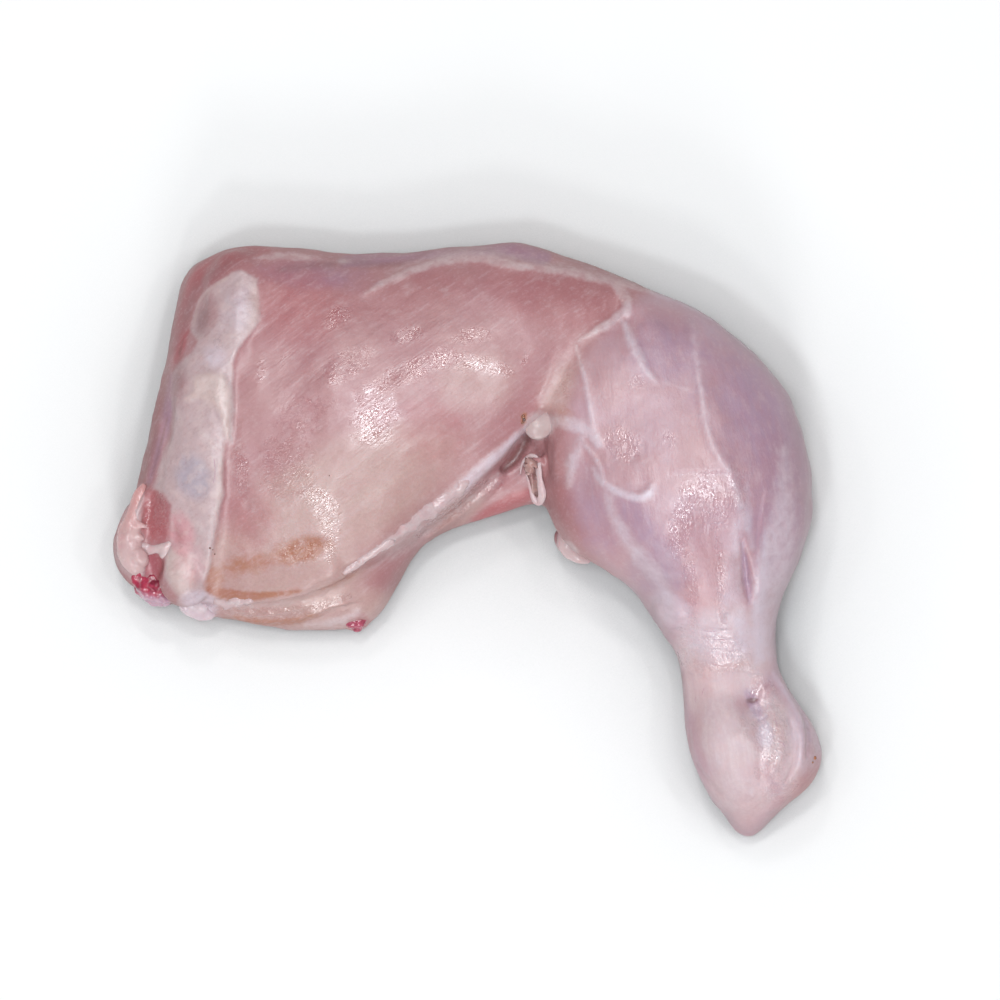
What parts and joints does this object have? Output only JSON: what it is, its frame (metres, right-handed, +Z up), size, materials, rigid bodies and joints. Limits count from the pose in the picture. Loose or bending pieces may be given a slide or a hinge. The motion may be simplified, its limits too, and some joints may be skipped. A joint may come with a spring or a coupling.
{
  "type": "raw chicken leg",
  "caption": "Raw skinless chicken leg, thigh and drumstick in one piece, bent at the knee and lying on its side, with pale seams of fat, a blunt hip end and a rounded hock.",
  "frame": {"origin": "middle of the leg's box, on the surface that the leg lies on", "axes": "+X from the hip end towards the shin, +Y from the hock towards the front of the thigh, +Z up"},
  "size_m": [0.173, 0.146, 0.0382],
  "materials": {
    "raw_flesh": "wet pale pink muscle",
    "white_fat": "wet white fat and fascia",
    "dark_clot": "wet dark red clot"
  },
  "bodies": {
    "root": {"chicken_leg": "raw_flesh"}
  },
  "joints": []
}
